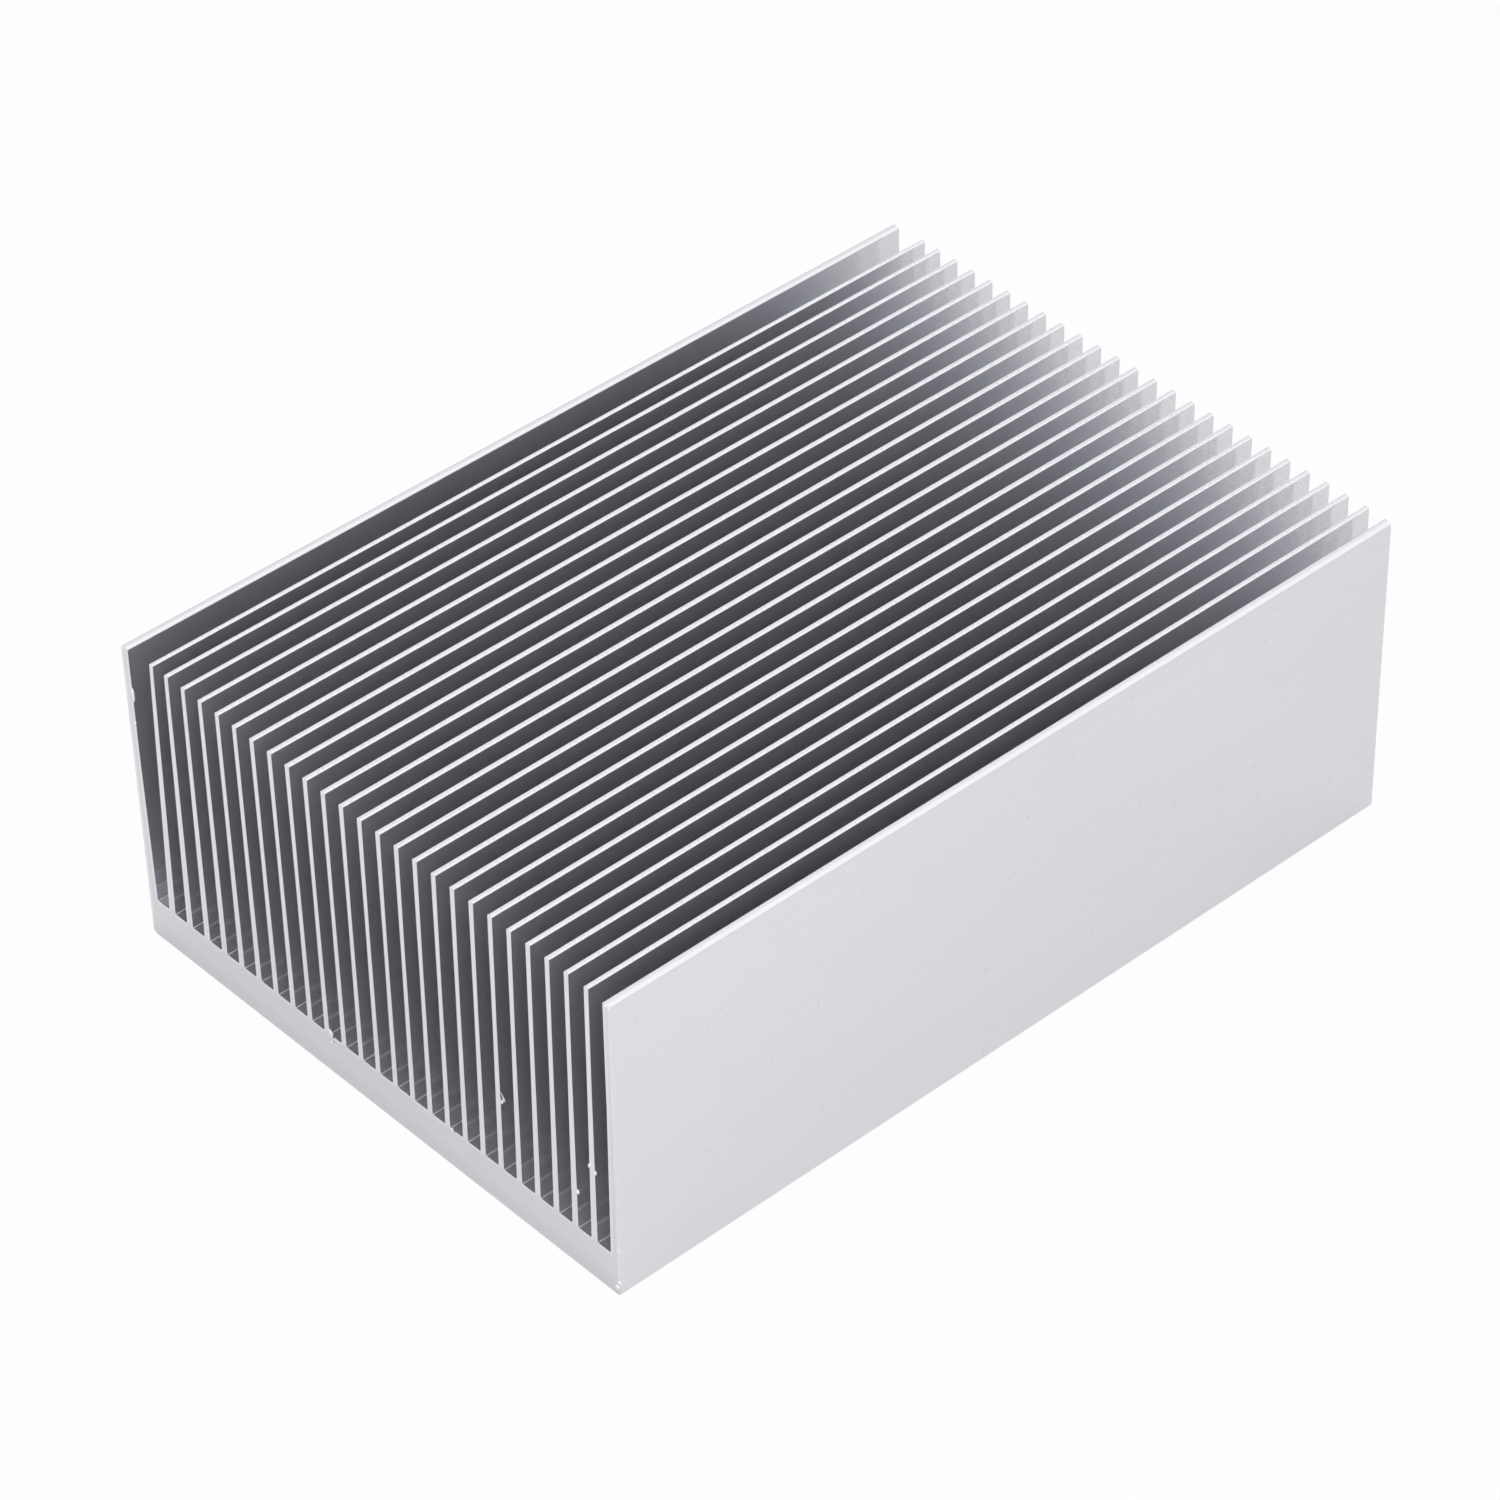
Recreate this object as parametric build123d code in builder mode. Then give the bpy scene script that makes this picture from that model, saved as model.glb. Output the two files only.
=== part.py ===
from build123d import *
import os

# Extruded aluminium heat sink, sawn to length: a flat base with a dense comb of thin upright fins.
# Millimetres. X runs across the fins, Y along the extrusion and Z up from the mounting face.
# The origin is the middle of the mounting face.

# Overall form
length = 150.0
base_width = 103.4
overall_height = 54.0
base_thickness = 7.15
waist_height = 34.0  # walls and fins taper from the slot roots up to here

# Outer walls, thicker than the fins between them and a little lower
wall_root_thickness = 1.87
wall_tip_thickness = 1.52
wall_drop = 0.3
left_wall_flare = 0.75  # the left wall leans outwards by this much from its foot to the fin tips

# Thin fins between the walls, narrowest at the waist. From the middle of the row towards each wall
# they thicken at the root and the waist, most on the left, and grow thinner at the tips.
fin_count = 25
left_fin_root_thickness = 1.46
middle_fin_root_thickness = 1.03
right_fin_root_thickness = 1.26
left_fin_waist_thickness = 1.08
middle_fin_waist_thickness = 0.79
right_fin_waist_thickness = 0.93
left_fin_tip_thickness = 0.76
middle_fin_tip_thickness = 0.95
right_fin_tip_thickness = 0.87
first_slot_opening = 0.9  # the tips start this much further from the flared wall
first_fin_lean = 0.4  # the tip of the first fin is pushed over by this much more
last_fin_lean = 0.15  # and that of the last fin, towards the upright wall

# Corners that the die rounds
wall_outer_tip_radius = 0.7
wall_inner_tip_radius = 0.5
fin_tip_radius = 0.3
slot_root_radius = 0.25
base_corner_radius = 0.8


def left_face(height):
    """How far left the outer face of the flared wall stands at a height."""
    return -base_width / 2 - left_wall_flare * height / overall_height


def fin_thicknesses(left, middle, right):
    """Thickness of every fin at one level, from the values at the two walls and in the middle."""
    row = []
    for i in range(fin_count):
        place = 2 * (i + 1) / (fin_count + 1) - 1
        side = left if place < 0 else right
        row.append(middle + (side - middle) * place**2)
    return row


def fin_centres(start, end, thicknesses):
    """Where the fins stand at one level, with equal slots between them from start to end."""
    slot = (end - start - sum(thicknesses)) / (fin_count + 1)
    row = []
    x = start
    for thickness in thicknesses:
        x += slot + thickness
        row.append(x - thickness / 2)
    return row


# Places of the walls and fins at the slot roots and at the tips
right_face = base_width / 2
wall_height = overall_height - wall_drop
left_root = left_face(base_thickness) + wall_root_thickness
first_tip_start = left_face(overall_height) + wall_tip_thickness + left_wall_flare + first_slot_opening
root_thicknesses = fin_thicknesses(
    left_fin_root_thickness, middle_fin_root_thickness, right_fin_root_thickness
)
waist_thicknesses = fin_thicknesses(
    left_fin_waist_thickness, middle_fin_waist_thickness, right_fin_waist_thickness
)
tip_thicknesses = fin_thicknesses(
    left_fin_tip_thickness, middle_fin_tip_thickness, right_fin_tip_thickness
)
root_centres = fin_centres(left_root, right_face - wall_root_thickness, root_thicknesses)
tip_centres = fin_centres(first_tip_start, right_face - wall_tip_thickness, tip_thicknesses)
tip_centres[0] += first_fin_lean
tip_centres[-1] += last_fin_lean
waist_share = (waist_height - base_thickness) / (overall_height - base_thickness)

# Outline of the section, from the left foot over the comb to the right foot
outline = [
    (left_face(0), 0),
    (left_face(wall_height), wall_height),
    (left_face(wall_height) + wall_tip_thickness, wall_height),
    (left_face(waist_height) + wall_tip_thickness, waist_height),
    (left_root, base_thickness),
]
for i in range(fin_count):
    waist_centre = root_centres[i] + waist_share * (tip_centres[i] - root_centres[i])
    outline += [
        (root_centres[i] - root_thicknesses[i] / 2, base_thickness),
        (waist_centre - waist_thicknesses[i] / 2, waist_height),
        (tip_centres[i] - tip_thicknesses[i] / 2, overall_height),
        (tip_centres[i] + tip_thicknesses[i] / 2, overall_height),
        (waist_centre + waist_thicknesses[i] / 2, waist_height),
        (root_centres[i] + root_thicknesses[i] / 2, base_thickness),
    ]
outline += [
    (right_face - wall_root_thickness, base_thickness),
    (right_face - wall_tip_thickness, waist_height),
    (right_face - wall_tip_thickness, wall_height),
    (right_face, wall_height),
    (right_face, 0),
]

# Heat sink, one piece: the section is rounded corner by corner, then drawn out to its length
with BuildPart() as heat_sink:
    with BuildSketch(Plane.XZ) as section:
        with BuildLine():
            Polyline(*outline, close=True)
        make_face()

        # The sharp section has five levels of corners: feet, slot roots, waist, wall tips, fin tips
        slot_roots = section.vertices().group_by(Axis.Y)[1]
        first_slot = root_centres[0] - root_thicknesses[0] / 2 - left_root
        fillet(slot_roots, min(slot_root_radius, 0.45 * first_slot))

        feet = section.vertices().group_by(Axis.Y)[0]
        fillet(feet, base_corner_radius)

        inner_wall_tips = section.vertices().group_by(Axis.Y)[-2].sort_by(Axis.X)[1:-1]
        fillet(inner_wall_tips, min(wall_inner_tip_radius, 0.45 * wall_tip_thickness))

        outer_wall_tips = section.vertices().group_by(Axis.Y)[-2].sort_by(Axis.X)
        outer_radius = min(wall_outer_tip_radius, 0.5 * wall_tip_thickness)
        fillet([outer_wall_tips[0], outer_wall_tips[-1]], outer_radius)

        fin_tips = section.vertices().group_by(Axis.Y)[-1]
        fillet(fin_tips, min(fin_tip_radius, 0.45 * min(tip_thicknesses)))
    extrude(amount=length / 2, both=True)

heat_sink.part.label = "heat_sink"

os.makedirs("parts", exist_ok=True)
export_step(heat_sink.part, "parts/heat_sink.step")

print("slot width at the roots", round(first_slot, 3))
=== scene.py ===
import math

import bmesh
import bpy
from mathutils import Matrix, Vector, noise


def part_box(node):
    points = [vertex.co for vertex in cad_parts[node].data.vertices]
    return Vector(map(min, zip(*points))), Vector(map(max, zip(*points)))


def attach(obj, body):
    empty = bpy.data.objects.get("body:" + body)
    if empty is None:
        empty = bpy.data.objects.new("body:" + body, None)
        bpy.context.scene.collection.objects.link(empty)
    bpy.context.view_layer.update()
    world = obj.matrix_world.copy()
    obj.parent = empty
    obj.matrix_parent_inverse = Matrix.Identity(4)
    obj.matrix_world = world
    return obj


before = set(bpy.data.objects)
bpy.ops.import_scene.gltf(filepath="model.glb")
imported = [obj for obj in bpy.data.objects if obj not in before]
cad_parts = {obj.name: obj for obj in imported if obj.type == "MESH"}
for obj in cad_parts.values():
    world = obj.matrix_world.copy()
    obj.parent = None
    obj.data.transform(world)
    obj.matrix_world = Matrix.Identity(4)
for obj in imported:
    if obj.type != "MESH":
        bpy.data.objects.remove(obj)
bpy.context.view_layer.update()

# Extruded aluminium heat sink with sawn ends. Metres: X runs across the fins, Y along the
# extrusion and Z up from the mounting face.
heat_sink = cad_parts["heat_sink"]
low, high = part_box("heat_sink")
half_length = high.y
millimetre = 0.001

# Camera, at the photograph's viewing angle: it looks down on the front right corner
aim = Vector((-0.00016, -0.00319, 0.0246))
camera_azimuth = math.radians(48.18)
camera_elevation = math.radians(39.889)
camera_roll = math.radians(-1.066)
camera_distance = 0.8474
lens_mm = 140.0
sensor_mm = 36.0

# Floor and light: a soft surround, brightest overhead and to the right, over a floor with a painted
# pool of light at the front right, whose colour fades to painted shade farther out
floor_radius = 6.0
floor_segments = 64
painted_lit_floor_colour = (0.826, 0.826, 0.826, 1.0)
painted_shade_floor_colour = (0.647, 0.647, 0.647, 1.0)
painted_light_pool_centre = Vector((0.12, -0.12, 0.0))
painted_light_pool_reach = 0.1
painted_shade_start = 0.45
floor_glow_to_camera = 0.95
floor_glow_in_metal = 0.15
sky_tint = (0.985, 0.99, 1.02, 1.0)
sky_mean = 0.81
sky_swing = Vector((0.16, 0.0, 0.3))
bounces = 24

# All the metal. A span is where the values of a pattern start and end that are blended over.
metal_share = 0.9
roughness_play = 0.03
grain_span = (0.3, 0.7)

# Outer walls as the die drew them: satin, with fine lines, faint clouds and a few darker specks
drawn_dark = (0.848, 0.85, 0.864, 1.0)
drawn_light = (0.876, 0.878, 0.892, 1.0)
drawn_span = (0.6, 1.4)
outer_roughness = 0.15
right_wall_depth = 0.8 * millimetre
left_wall_depth = 2 * right_wall_depth  # deeper, because this wall leans
die_line_width = 0.5 * millimetre
die_line_length = 800 * millimetre
die_line_detail = 4.0
cloud_size = 14 * millimetre
cloud_length = 4 * cloud_size
cloud_detail = 2.0
speck_size = 0.8 * millimetre
speck_detail = 0.0
speck_span = (0.8, 0.83)
speck_colour = (0.8, 0.8, 0.81, 1.0)

# Slots as the die drew them: smoother, with a fine grain and a rough line along each root, whose
# paler colour is a painted highlight
grain_dark = (0.81, 0.812, 0.828, 1.0)
grain_light = (0.914, 0.916, 0.932, 1.0)
grain_size = 0.4 * millimetre
grain_detail = 1.0
slot_roughness = 0.12
painted_root_glint_colour = (0.97, 0.97, 0.98, 1.0)
root_glint_roughness = 0.6
root_glint_start = 7.153 * millimetre
root_glint_end = 7.23 * millimetre

# Aluminium where the saw cut it: duller, with fine arcs, a painted highlight along its edges and
# painted shade at its foot
sawn_dark = (0.83, 0.832, 0.848, 1.0)
sawn_light = (0.862, 0.864, 0.88, 1.0)
sawn_span = (0.4, 1.1)
painted_foot_shade_colour = (0.77, 0.772, 0.784, 1.0)
painted_rim_highlight_colour = (0.945, 0.947, 0.96, 1.0)
sawn_roughness = 0.42
sawn_skin = 0.02 * millimetre
painted_rim_width = 0.8 * millimetre
painted_rim_span = (1.0, 0.75)
painted_rim_samples = 8
painted_foot_shade_height = 4 * millimetre
saw_centre = Vector((0.02, 0.0, -0.11))
saw_arc_spacing = 0.7 * millimetre
saw_arc_distortion = 2.0
saw_arc_share = 0.5
wave_phase_rate = 20  # radians that a wave texture of scale 1 moves on by in a metre
saw_grit_size = 0.2 * millimetre
saw_grit_detail = 3.0
saw_grit_span = (0.2, 0.8)
saw_mark_depth = 0.003 * millimetre

# Torn metal of the burrs that the saw left on the front end
torn_dark = (0.92, 0.92, 0.92, 1.0)
torn_light = (1.0, 1.0, 1.0, 1.0)
torn_roughness = 0.12
torn_grain = 0.3 * millimetre
torn_detail = 2.0
torn_depth = 0.02 * millimetre
burr_depth = 0.6 * millimetre
burr_proud = 0.3 * millimetre
burr_subdivisions = 3
burr_roughening = 0.22
burr_lump_rate = 2.5
# painted shade: dark grains that stand in for the shade inside holes the saw tore
pit_shade_dark = (0.08, 0.08, 0.085, 1.0)
pit_shade_light = (0.3, 0.3, 0.31, 1.0)
pit_shade_depth = 0.06 * millimetre
pit_shade_proud = 0.02 * millimetre

# Each burr in millimetres and degrees: how far to the right and up it sits, how wide and tall it
# is, and how far its top leans to the right
burrs = {
    "burr_left_wall_upper": (-50.7, 45.5, 0.7, 2.3, -10),
    "burr_left_wall_lower": (-50.75, 40.0, 0.4, 0.9, -10),
    "burr_fin_17_foot": (16.5, 7.25, 0.6, 0.55, 0),
    "burr_fin_10_foot": (-10.15, 7.5, 0.9, 1.5, -25),
    "burr_base_grain": (-9.95, 5.95, 0.4, 0.45, 0),
    "burr_fin_20_lip": (27.95, 20.2, 0.4, 1.7, 36),
    "burr_fin_24": (43.35, 14.1, 0.75, 0.75, 0),
    "burr_fin_25_left": (46.2, 21.1, 0.55, 0.9, 0),
    "burr_fin_25_right": (47.25, 20.4, 0.65, 0.9, 0),
    "burr_right_edge": (51.55, 8.7, 0.3, 1.3, 0),
    "burr_corner_low": (51.0, 1.5, 0.95, 0.6, 20),
    "burr_corner_high": (51.45, 2.6, 0.6, 0.7, 0),
    "burr_right_wall_tip": (51.0, 53.45, 0.6, 0.4, 0),
    "burr_right_wall_side": (51.5, 53.1, 0.35, 0.4, 0),
}

# Dark grains of painted shade, standing for the holes that the saw tore out beside some burrs, measured
# in the same way
painted_pit_shades = {
    "pit_shade_left_wall": (-51.15, 45.0, 0.35, 0.9, -10),
    "pit_shade_fin_10_foot": (-9.6, 7.1, 0.4, 0.5, -30),
    "pit_shade_base": (-9.65, 6.2, 0.3, 0.4, 0),
    "pit_shade_fin_17_foot": (16.95, 7.0, 0.3, 0.35, 0),
    "pit_shade_fin_20": (27.75, 21.0, 0.3, 1.0, -20),
    "pit_shade_fin_24": (43.2, 13.6, 0.3, 0.4, 0),
    "pit_shade_corner_low": (51.2, 2.15, 0.5, 0.3, -20),
}

# The one burr that hangs off its fin as a flap, in millimetres: how far to the right its foot on
# the fin and its tip are, how far up it sits, and how tall and thick it is
flap_foot = 27.25
flap_tip = 28.5
flap_up = 20.7
flap_height = 2.7
flap_thickness = 0.3
flap_segments = 16
flap_foot_radius = 0.5  # this and the next are of the flap before it is stretched to its size
flap_tip_radius = 0.04


def place_camera():
    """Looks at the aim point from the azimuth, elevation, roll and distance given at the top."""
    away = Vector((
        math.cos(camera_elevation) * math.sin(camera_azimuth),
        -math.cos(camera_elevation) * math.cos(camera_azimuth),
        math.sin(camera_elevation),
    ))
    camera = bpy.data.objects.new("camera", bpy.data.cameras.new("camera"))
    camera.data.lens = lens_mm
    camera.data.sensor_width = sensor_mm
    turn = away.to_track_quat("Z", "Y").to_matrix().to_4x4()
    roll = Matrix.Rotation(camera_roll, 4, "Z")
    camera.matrix_world = Matrix.Translation(aim + camera_distance * away) @ turn @ roll
    bpy.context.scene.collection.objects.link(camera)
    bpy.context.scene.camera = camera


def new_material(name):
    """A material with an empty tree but for its output, with a maker of nodes and a maker of links."""
    material = bpy.data.materials.new(name)
    material.use_nodes = True
    tree = material.node_tree
    tree.nodes.clear()
    output = tree.nodes.new("ShaderNodeOutputMaterial")
    return material, tree.nodes.new, tree.links.new, output


def math_node(node, link, operation, first, second):
    """A Math node on two values, each a socket or a number."""
    made = node("ShaderNodeMath")
    made.operation = operation
    for socket, value in zip(made.inputs, (first, second)):
        if isinstance(value, bpy.types.NodeSocket):
            link(value, socket)
        else:
            socket.default_value = value
    return made.outputs[0]


def between(node, link, value, start, end, low_result, high_result):
    """Carries a value from the span start to end over to the span of results, and holds it there."""
    made = node("ShaderNodeMapRange")
    numbers = (start, end, low_result, high_result)
    for name, number in zip(("From Min", "From Max", "To Min", "To Max"), numbers):
        made.inputs[name].default_value = number
    link(value, made.inputs["Value"])
    return made.outputs[0]


def blend_colours(node, link, share, first, second):
    """A colour between two, by a share. The colours are sockets or plain colours."""
    made = node("ShaderNodeMix")
    made.data_type = "RGBA"
    link(share, made.inputs["Factor"])
    for socket, colour in zip((made.inputs[6], made.inputs[7]), (first, second)):
        if isinstance(colour, bpy.types.NodeSocket):
            link(colour, socket)
        else:
            socket.default_value = colour
    return made.outputs[2]


def mottle(node, link, place, sizes, detail):
    """A noise whose spots have these sizes along X, Y and Z."""
    spread = node("ShaderNodeMapping")
    spread.inputs["Scale"].default_value = [1 / size for size in sizes]
    link(place, spread.inputs["Vector"])
    spots = node("ShaderNodeTexNoise")
    spots.inputs["Scale"].default_value = 1.0
    spots.inputs["Detail"].default_value = detail
    link(spread.outputs[0], spots.inputs["Vector"])
    return spots.outputs["Fac"]


def raise_surface(node, link, height, depth):
    """A normal for a surface that a height pattern raises by a depth."""
    made = node("ShaderNodeBump")
    made.inputs["Distance"].default_value = depth
    link(height, made.inputs["Height"])
    return made.outputs[0]


def metal_shader(node, link, colour, roughness, normal=None):
    """The shader of bare aluminium. Colour, roughness and the normal, if it has one, are sockets."""
    metal = node("ShaderNodeBsdfPrincipled")
    metal.inputs["Metallic"].default_value = metal_share
    link(colour, metal.inputs["Base Color"])
    link(roughness, metal.inputs["Roughness"])
    if normal:
        link(normal, metal.inputs["Normal"])
    return metal.outputs[0]


def floor_material():
    """Pale floor, white to the camera and less so in the metal, that keeps a soft shadow, with a painted
    pool of light in its colour that fades to painted shade.
    """
    material, node, link, output = new_material("pale_floor")
    place = node("ShaderNodeTexCoord")
    reach = node("ShaderNodeVectorMath")
    reach.operation = "DISTANCE"
    link(place.outputs["Object"], reach.inputs[0])
    reach.inputs[1].default_value = painted_light_pool_centre
    # painted light: the floor's colour fades from a painted pool of light to painted shade away from the
    # spot
    far = between(node, link, reach.outputs["Value"], painted_light_pool_reach, painted_shade_start, 0.0, 1.0)
    diffuse = node("ShaderNodeBsdfDiffuse")
    link(blend_colours(node, link, far, painted_lit_floor_colour, painted_shade_floor_colour), diffuse.inputs["Color"])
    glow = node("ShaderNodeEmission")
    path = node("ShaderNodeLightPath")
    mix = node("ShaderNodeMixShader")
    seen = math_node(node, link, "MULTIPLY", path.outputs["Is Camera Ray"], floor_glow_to_camera)
    reflected = math_node(node, link, "MULTIPLY", path.outputs["Is Glossy Ray"], floor_glow_in_metal)
    link(math_node(node, link, "ADD", seen, reflected), mix.inputs["Fac"])
    link(diffuse.outputs[0], mix.inputs[1])
    link(glow.outputs[0], mix.inputs[2])
    link(mix.outputs[0], output.inputs["Surface"])
    return material


def make_floor():
    """A wide round floor under the heat sink."""
    mesh = bpy.data.meshes.new("floor")
    build = bmesh.new()
    bmesh.ops.create_circle(build, cap_ends=True, segments=floor_segments, radius=floor_radius)
    build.to_mesh(mesh)
    build.free()
    mesh.materials.append(floor_material())
    floor = bpy.data.objects.new("floor", mesh)
    bpy.context.scene.collection.objects.link(floor)


def make_sky():
    """A soft white surround, brightest overhead and to the right."""
    world = bpy.data.worlds.new("surround")
    world.use_nodes = True
    node, link = world.node_tree.nodes.new, world.node_tree.links.new
    background = world.node_tree.nodes["Background"]
    background.inputs["Color"].default_value = sky_tint
    direction = node("ShaderNodeTexCoord")
    facing = node("ShaderNodeVectorMath")
    facing.operation = "DOT_PRODUCT"
    link(direction.outputs["Generated"], facing.inputs[0])
    facing.inputs[1].default_value = sky_swing
    link(math_node(node, link, "ADD", facing.outputs["Value"], sky_mean), background.inputs["Strength"])
    world.cycles.sampling_method = "NONE"
    bpy.context.scene.world = world


def outer_wall_colour(node, link, place, lines):
    """The colour of the outer walls: die lines over a faint cloudiness, with a few darker specks."""
    clouds = mottle(node, link, place, (cloud_size, cloud_length, cloud_size), cloud_detail)
    tone = math_node(node, link, "ADD", lines, clouds)
    tone = between(node, link, tone, *drawn_span, 0.0, 1.0)
    colour = blend_colours(node, link, tone, drawn_dark, drawn_light)
    specks = mottle(node, link, place, (speck_size, speck_size, speck_size), speck_detail)
    specks = between(node, link, specks, *speck_span, 0.0, 1.0)
    return blend_colours(node, link, specks, colour, speck_colour)


def slot_colour(node, link, place, painted_root_glint):
    """The colour of the slots: a fine grain, and a painted highlight in the line along each root."""
    grain = mottle(node, link, place, (grain_size, grain_size, grain_size), grain_detail)
    grain = between(node, link, grain, *grain_span, 0.0, 1.0)
    colour = blend_colours(node, link, grain, grain_dark, grain_light)
    return blend_colours(node, link, painted_root_glint, colour, painted_root_glint_colour)


def drawn_metal(node, link, place, parts):
    """Faces that the die drew: satin outer walls, and smoother slots with a rough line in each root that
    carries a painted highlight.
    """
    left_side = math_node(node, link, "LESS_THAN", parts.outputs["X"], low.x + left_wall_depth)
    right_side = math_node(node, link, "GREATER_THAN", parts.outputs["X"], high.x - right_wall_depth)
    outside = math_node(node, link, "MAXIMUM", left_side, right_side)
    inside = math_node(node, link, "SUBTRACT", 1.0, outside)
    # painted highlight: a paler band just above the slot floor, along the root fillet where light glints
    above = math_node(node, link, "GREATER_THAN", parts.outputs["Z"], root_glint_start)
    below = math_node(node, link, "LESS_THAN", parts.outputs["Z"], root_glint_end)
    painted_root_glint = math_node(node, link, "MULTIPLY", above, below)
    painted_root_glint = math_node(node, link, "MULTIPLY", painted_root_glint, inside)

    lines = mottle(node, link, place, (die_line_width, die_line_length, die_line_width), die_line_detail)
    in_slots = slot_colour(node, link, place, painted_root_glint)
    on_walls = outer_wall_colour(node, link, place, lines)
    colour = blend_colours(node, link, outside, in_slots, on_walls)

    slot_finish = between(node, link, painted_root_glint, 0.0, 1.0, slot_roughness, root_glint_roughness)
    wall_finish = math_node(node, link, "MULTIPLY", outside, outer_roughness)
    roughness = math_node(node, link, "MAXIMUM", slot_finish, wall_finish)
    play = math_node(node, link, "MULTIPLY", lines, roughness_play)
    roughness = math_node(node, link, "ADD", roughness, play)
    return metal_shader(node, link, colour, roughness)


def sawn_metal(node, link, place, parts):
    """The cut ends: faint saw arcs and a fine grit, with a painted highlight along every edge and
    painted shade at the foot.
    """
    centred = node("ShaderNodeMapping")
    centred.inputs["Location"].default_value = -saw_centre
    link(place, centred.inputs["Vector"])
    arcs = node("ShaderNodeTexWave")
    arcs.wave_type = "RINGS"
    arcs.rings_direction = "Y"
    arcs.inputs["Scale"].default_value = 2 * math.pi / (wave_phase_rate * saw_arc_spacing)
    arcs.inputs["Distortion"].default_value = saw_arc_distortion
    link(centred.outputs[0], arcs.inputs["Vector"])
    grit = mottle(node, link, place, (saw_grit_size, saw_grit_size, saw_grit_size), saw_grit_detail)
    marks = math_node(node, link, "MULTIPLY", arcs.outputs["Fac"], saw_arc_share)
    marks = math_node(node, link, "ADD", marks, grit)
    tone = between(node, link, marks, *sawn_span, 0.0, 1.0)
    colour = blend_colours(node, link, tone, sawn_dark, sawn_light)

    # painted highlight: a paler colour along every edge of the sawn ends
    edge = node("ShaderNodeAmbientOcclusion")
    edge.inside = True
    edge.only_local = True
    edge.samples = painted_rim_samples
    edge.inputs["Distance"].default_value = painted_rim_width
    painted_rim_highlight = between(node, link, edge.outputs["AO"], *painted_rim_span, 0.0, 1.0)
    colour = blend_colours(node, link, painted_rim_highlight, colour, painted_rim_highlight_colour)
    # painted shade: the sawn ends darken towards the bottom
    foot = between(node, link, parts.outputs["Z"], 0.0, painted_foot_shade_height, 1.0, 0.0)
    colour = blend_colours(node, link, foot, colour, painted_foot_shade_colour)

    play = between(node, link, grit, *saw_grit_span, -roughness_play, roughness_play)
    roughness = math_node(node, link, "ADD", play, sawn_roughness)
    normal = raise_surface(node, link, marks, saw_mark_depth)
    return metal_shader(node, link, colour, roughness, normal)


def aluminium_material():
    """Bare aluminium: sawn metal in a thin skin at both ends, drawn metal everywhere else."""
    material, node, link, output = new_material("satin_aluminium")
    place = node("ShaderNodeTexCoord").outputs["Object"]
    parts = node("ShaderNodeSeparateXYZ")
    link(place, parts.inputs[0])
    along = math_node(node, link, "ABSOLUTE", parts.outputs["Y"], 0.0)
    sawn = math_node(node, link, "GREATER_THAN", along, half_length - sawn_skin)
    mix = node("ShaderNodeMixShader")
    link(sawn, mix.inputs["Fac"])
    link(drawn_metal(node, link, place, parts), mix.inputs[1])
    link(sawn_metal(node, link, place, parts), mix.inputs[2])
    link(mix.outputs[0], output.inputs["Surface"])
    return material


def torn_material(name, dark, light):
    """Torn metal with a coarse broken grain between two colours; with dark colours, the painted shade of
    a hole.
    """
    material, node, link, output = new_material(name)
    place = node("ShaderNodeTexCoord").outputs["Object"]
    grain = mottle(node, link, place, (torn_grain, torn_grain, torn_grain), torn_detail)
    tone = between(node, link, grain, *grain_span, 0.0, 1.0)
    colour = blend_colours(node, link, tone, dark, light)
    play = math_node(node, link, "MULTIPLY", grain, roughness_play)
    roughness = math_node(node, link, "ADD", play, torn_roughness)
    normal = raise_surface(node, link, grain, torn_depth)
    link(metal_shader(node, link, colour, roughness, normal), output.inputs["Surface"])
    return material


def finish_burr(name, build, material):
    """Makes an object of a burr's mesh, which rides with the heat sink."""
    bmesh.ops.recalc_face_normals(build, faces=build.faces)
    mesh = bpy.data.meshes.new(name)
    build.to_mesh(mesh)
    build.free()
    mesh.shade_smooth()
    mesh.materials.append(material)
    piece = bpy.data.objects.new(name, mesh)
    bpy.context.scene.collection.objects.link(piece)
    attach(piece, "root")


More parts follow.
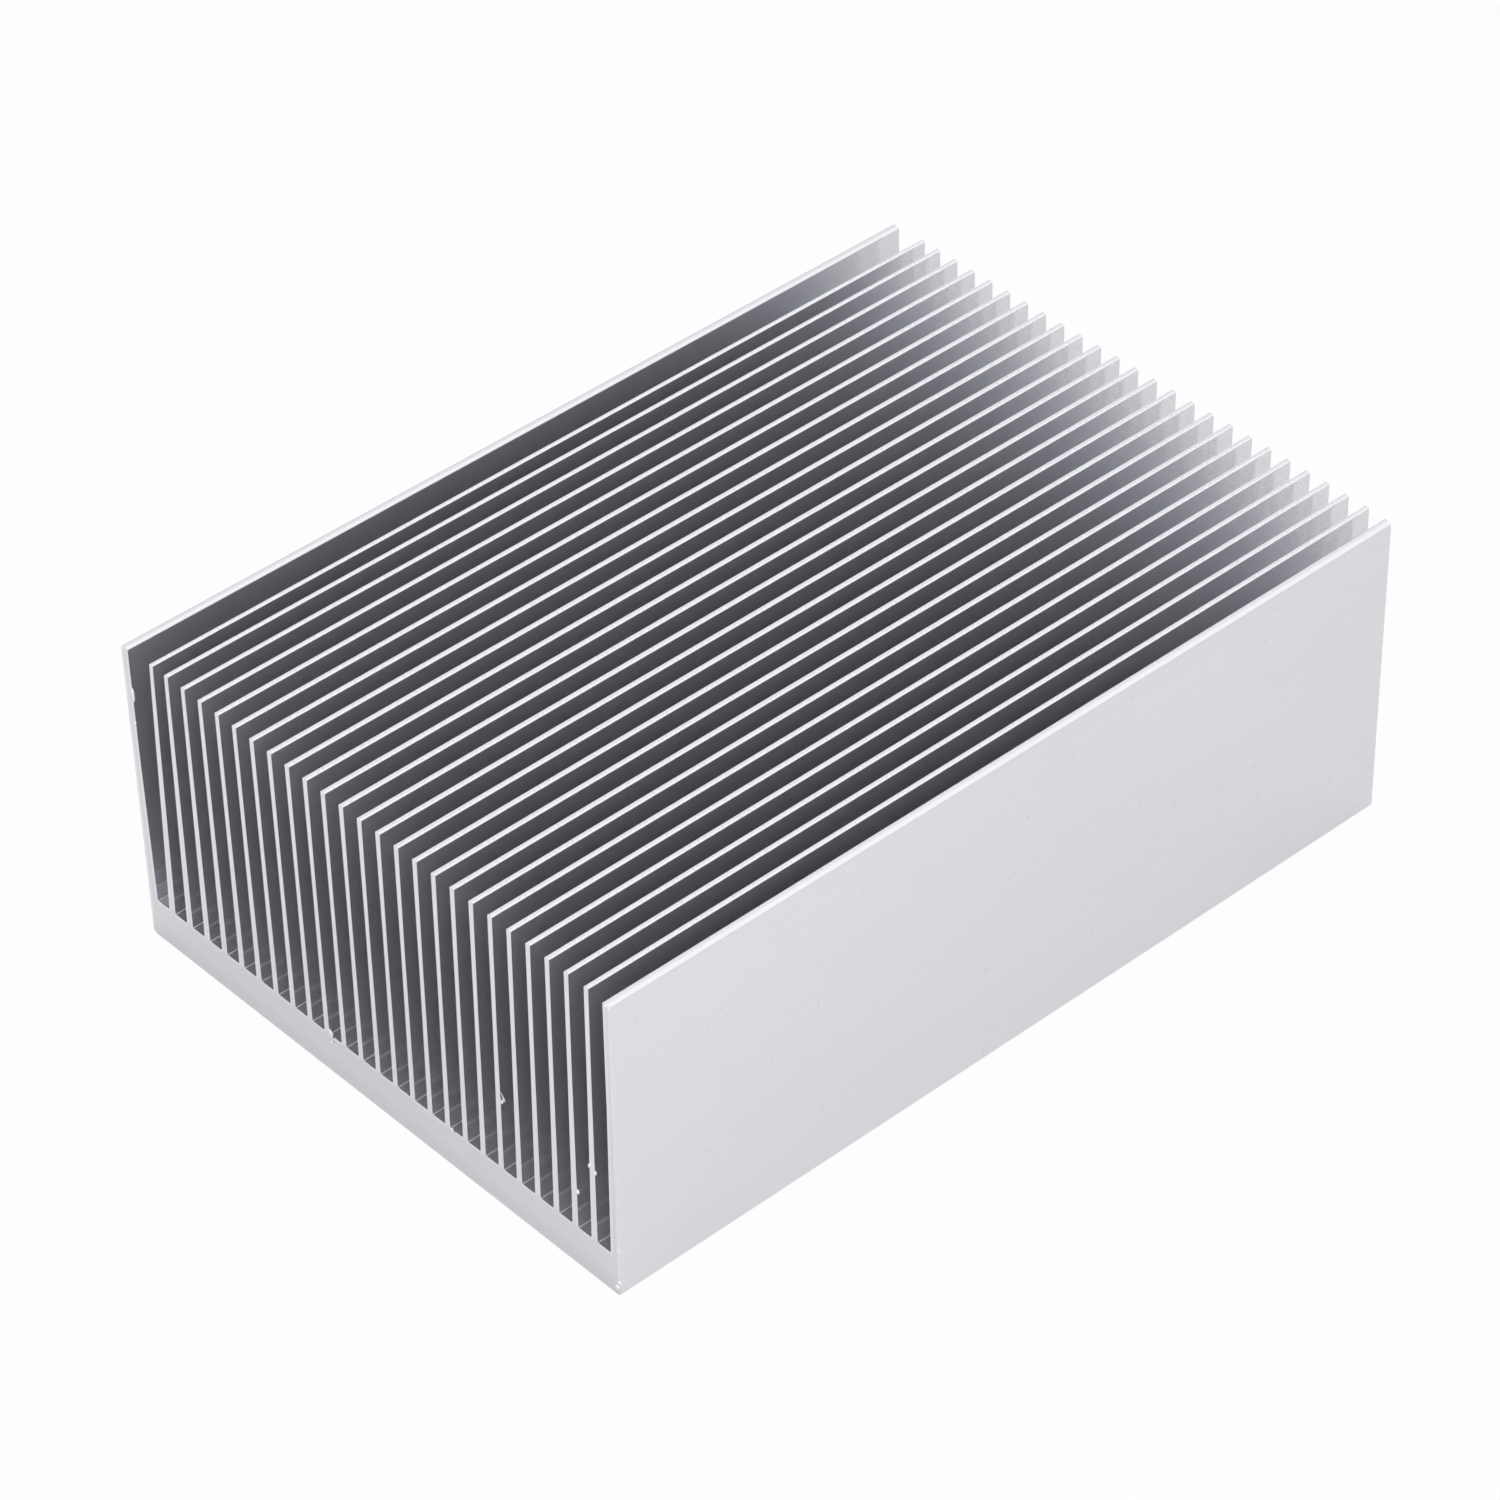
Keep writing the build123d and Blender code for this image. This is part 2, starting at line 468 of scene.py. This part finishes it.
def make_grain(name, right, up, wide, tall, lean, depth, proud, material):
    """A lumpy grain of a depth, sunk in the front end but for the proud part of it."""
    build = bmesh.new()
    bmesh.ops.create_icosphere(build, subdivisions=burr_subdivisions, radius=0.5)
    for vertex in build.verts:
        lump = noise.noise(burr_lump_rate * vertex.co + Vector((right, 0.0, up)))
        vertex.co *= 1 + burr_roughening * lump
    size = Vector((wide * millimetre, depth, tall * millimetre))
    bmesh.ops.scale(build, vec=size, verts=build.verts)
    turn = Matrix.Rotation(math.radians(lean), 3, "Y")
    bmesh.ops.rotate(build, matrix=turn, verts=build.verts)
    middle = -half_length + depth / 2 - proud
    spot = Vector((right * millimetre, middle, up * millimetre))
    bmesh.ops.translate(build, vec=spot, verts=build.verts)
    finish_burr(name, build, material)


def make_flap(material):
    """The flap that hangs off one fin: a flattened spike that points into the slot."""
    build = bmesh.new()
    reach = (flap_tip - flap_foot) * millimetre
    bmesh.ops.create_cone(
        build,
        cap_ends=True,
        segments=flap_segments,
        radius1=flap_foot_radius,
        radius2=flap_tip_radius,
        depth=1.0,
    )
    size = Vector((flap_height * millimetre, flap_thickness * millimetre, reach))
    bmesh.ops.scale(build, vec=size, verts=build.verts)
    turn = Matrix.Rotation(math.radians(90), 3, "Y")
    bmesh.ops.rotate(build, matrix=turn, verts=build.verts)
    middle = -half_length + flap_thickness * millimetre / 2
    spot = Vector((flap_foot * millimetre + reach / 2, middle, flap_up * millimetre))
    bmesh.ops.translate(build, vec=spot, verts=build.verts)
    finish_burr("burr_fin_20_flap", build, material)


place_camera()
make_floor()
make_sky()

aluminium = aluminium_material()
heat_sink.data.materials.clear()
heat_sink.data.materials.append(aluminium)

torn = torn_material("torn_aluminium", torn_dark, torn_light)
for name, shape in burrs.items():
    make_grain(name, *shape, burr_depth, burr_proud, torn)
make_flap(torn)
# painted shade: dark grains proud of the front end where the saw tore holes beside some burrs
pit_shade_material = torn_material("painted_pit_shade", pit_shade_dark, pit_shade_light)
for name, shape in painted_pit_shades.items():
    make_grain(name, *shape, pit_shade_depth, pit_shade_proud, pit_shade_material)

scene = bpy.context.scene
scene.view_settings.view_transform = "Standard"
scene.cycles.max_bounces = bounces
scene.cycles.glossy_bounces = bounces
